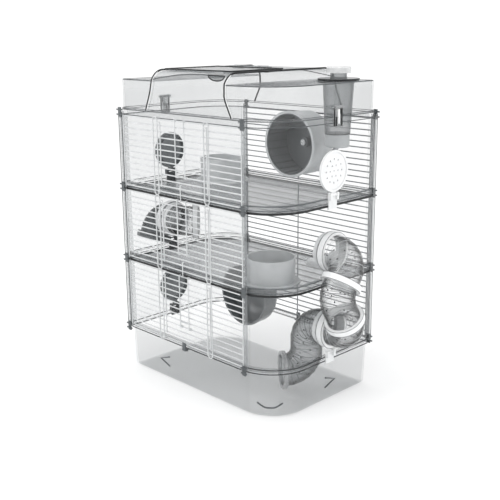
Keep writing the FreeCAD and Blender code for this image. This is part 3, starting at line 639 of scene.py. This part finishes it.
BAR_Y = -0.1196
HOOK_R = 0.00525      # half the gap between the two bars it joins
HOOK_TAIL = 0.006
HOOK_STEPS = 8
HOOK_BARS = (-0.0865, 0.0345)
HOOK_TOP = 0.1185     # above the storey's level
HOOK_FOOT = 0.0035


def hook(x, turn_z, way):
    """The bent-over end of an upright bar: up (way 1) or down (-1) and round to the bar beside it."""
    points = [Vector((x, BAR_Y, turn_z - way * HOOK_TAIL))]
    for i in range(HOOK_STEPS + 1):
        angle = math.pi * (1 - i / HOOK_STEPS)
        points.append(Vector((x + HOOK_R + HOOK_R * math.cos(angle), BAR_Y,
                              turn_z + way * HOOK_R * math.sin(angle))))
    points.append(Vector((x + 2 * HOOK_R, BAR_Y, turn_z - way * HOOK_TAIL)))
    return points


hooks = []
for level in LEVELS[:3]:
    for x in HOOK_BARS:
        hooks.append(hook(x, level + HOOK_TOP, 1))
        hooks.append(hook(x, level + HOOK_FOOT, -1))
wires("bar_hooks", hooks, 0.0009, MATERIALS["wire"], "cage")

# Moulded edges down the columns at the tight corners.
COLUMN_Y = 0.1207              # the column's face towards the front
COLUMN_XS = (-0.1758, -0.1672)
COLUMN_ENDS = (0.0765, 0.4515)
RETURN_X = 0.1756              # and its face towards the end
RETURN_Y = 0.1130
RETURN_ENDS = (0.081, 0.445)
uprights = []
for turn in (1, -1):
    for x in COLUMN_XS:
        uprights.append([Vector((turn * x, -turn * COLUMN_Y, z)) for z in COLUMN_ENDS])
    uprights.append([Vector((-turn * RETURN_X, -turn * RETURN_Y, z)) for z in RETURN_ENDS])
wires("column_edges", uprights, 0.0005, DARK_EDGE, "cage")


LINK_X = -0.0205
LINK_OUT = -0.1217
LINK_IN = -0.1190


def link(height):
    """A short wire link that ties the grids of two storeys across a rim."""
    return [Vector((LINK_X, y, height + rise)) for y, rise in (
        (LINK_IN, 0.0215), (LINK_OUT, 0.0205), (LINK_OUT, -0.0035), (LINK_IN, -0.0045))]


wires("rim_links", [link(LEVELS[1]), link(LEVELS[2])], 0.0009, MATERIALS["wire"], "cage")


# Moulded marks on the tray: an arrow head on the front and one on the right end, a shallow U at the corner.
TRAY_INSET = 0.0056   # how far the tray's foot stands inside the rim
TRAY_SPREAD = 0.0026  # how much less at the top, LEVELS[0] above it
MARK_PROUD = 0.0003


def wall_inset(z):
    """How far inside the rim's outline a mark on the tray's sloping wall lies at that height."""
    return TRAY_INSET - TRAY_SPREAD * z / LEVELS[0] - MARK_PROUD


arrow_front = [Vector((x, wall_inset(z) - HALF_D, z)) for x, z in (
    (-0.075, 0.040), (-0.0985, 0.0315), (-0.075, 0.023))]
arrow_side = [Vector((HALF_L - wall_inset(z), y, z)) for y, z in (
    (0.008, 0.040), (0.0315, 0.0315), (0.008, 0.023))]
corner_mark = []
for i in range(13):
    angle = math.radians(-68 + 3 * i)
    z = 0.0225 - 0.0075 * min(1.0, 1.6 - 1.6 * abs(i - 6) / 6)
    radius = BIG_R - wall_inset(z)
    corner_mark.append(Vector((
        HALF_L - BIG_R + radius * math.cos(angle), -HALF_D + BIG_R + radius * math.sin(angle), z)))
wires("tray_marks", [arrow_front, arrow_side, corner_mark], 0.0013, GREY_EDGE, "cage")

hatch_low, hatch_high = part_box("hatch")
HATCH_TOP = SADDLE + 0.0018
HATCH_BACK = 0.0114   # the plate's edge in front of its hinge
border = [Vector((x, y, HATCH_TOP)) for x, y in (
    (hatch_low.x, hatch_low.y), (hatch_high.x, hatch_low.y),
    (hatch_high.x, HATCH_BACK), (hatch_low.x, HATCH_BACK))]
wires("hatch_edge", [border], 0.0010, DARK_EDGE, "hatch", closed=True)

# ---- floor, light, camera ----
floor_graph = Graph("pale_floor")
floor_shader = floor_graph.add("ShaderNodeBsdfPrincipled")
floor_shader.inputs["Roughness"].default_value = 0.9
floor_graph.link(
    floor_graph.ramp(floor_graph.noise(2.0), [(0.3, 0.96), (0.7, 0.98)]),
    floor_shader.inputs["Base Color"])
floor_graph.link(floor_shader.outputs[0], floor_graph.output.inputs["Surface"])
FLOOR_SIZE = 12.0
FLOOR_Z = -0.0006   # just below the tray, so the two don't flicker
bpy.ops.mesh.primitive_plane_add(size=FLOOR_SIZE, location=(0, 0, FLOOR_Z))
floor = bpy.context.object
floor.name = "studio_floor"
floor.data.materials.append(floor_graph.material)

SKY_STRENGTH = 1.10
scene = bpy.context.scene
scene.world = bpy.data.worlds.new("studio")
scene.world.use_nodes = True
background = scene.world.node_tree.nodes["Background"]
background.inputs["Color"].default_value = (1, 1, 1, 1)
background.inputs["Strength"].default_value = SKY_STRENGTH


def softbox(name, place, target, size, power):
    """A rectangular lamp at place, aimed at target; size in metres, power in watts."""
    lamp = bpy.data.lights.new(name, "AREA")
    lamp.shape = "RECTANGLE"
    lamp.size, lamp.size_y = size
    lamp.energy = power
    thing = bpy.data.objects.new(name, lamp)
    scene.collection.objects.link(thing)
    thing.location = place
    thing.rotation_euler = (Vector(target) - Vector(place)).to_track_quat("-Z", "Y").to_euler()


softbox("key", (-0.9, -1.9, 1.9), (0, 0, 0.25), (1.2, 1.2), 16)
softbox("side", (2.2, 0.3, 1.3), (0, 0, 0.3), (1.0, 1.4), 9)

# Camera: 45 degrees round from the front, looking 15 degrees down. Angles in radians.
YAW, PITCH, ROLL = 0.792, 0.263, -0.008
SENSOR = 36
FOCAL = 821.3 / 500 * SENSOR
CAMERA_PLACE = (0.9572, -0.93408, 0.58212)
look = Vector((-math.sin(YAW) * math.cos(PITCH), math.cos(YAW) * math.cos(PITCH), -math.sin(PITCH)))
level = Vector((math.cos(YAW), math.sin(YAW), 0))
upward = level.cross(look)
camera_x = level * math.cos(ROLL) + upward * math.sin(ROLL)
camera_y = upward * math.cos(ROLL) - level * math.sin(ROLL)
camera_data = bpy.data.cameras.new("camera")
camera_data.sensor_width = SENSOR
camera_data.lens = FOCAL
camera_data.clip_end = 30
camera = bpy.data.objects.new("camera", camera_data)
scene.collection.objects.link(camera)
aim = Matrix((camera_x, camera_y, -look)).transposed().to_4x4()
camera.matrix_world = Matrix.Translation(CAMERA_PLACE) @ aim
bpy.context.scene.camera = camera

scene.view_settings.view_transform = "Standard"
scene.cycles.transparent_max_bounces = 48
scene.cycles.max_bounces = 10
scene.cycles.use_denoising = True
